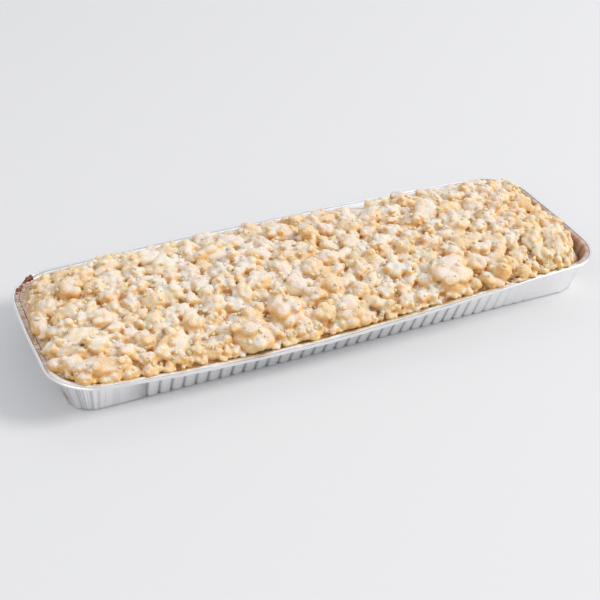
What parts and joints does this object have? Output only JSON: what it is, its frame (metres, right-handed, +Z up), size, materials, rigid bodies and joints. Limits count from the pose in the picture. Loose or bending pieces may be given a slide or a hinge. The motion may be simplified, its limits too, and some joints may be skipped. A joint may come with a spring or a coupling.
{
  "type": "babka",
  "caption": "Long yeast babka with a lumpy streusel crumb topping, in the pressed-foil baking tray with fluted walls and a rolled rim that it was baked in.",
  "frame": {"origin": "middle of the tray's underside, on the surface that it stands on", "axes": "+X along the tray's length, +Y across it towards the long side whose rim is highest, +Z up"},
  "size_m": [0.4028, 0.1473, 0.0433],
  "materials": {
    "foil": "thin pressed aluminium foil, satin, with fine crinkles",
    "crust": "baked yeast dough crust, golden to red-brown, matte",
    "streusel": "baked butter streusel, pale golden and grainy, dusted with icing sugar"
  },
  "bodies": {
    "root": {"foil_tray": "foil", "dough": "crust", "crumb_topping": "streusel"}
  },
  "joints": []
}
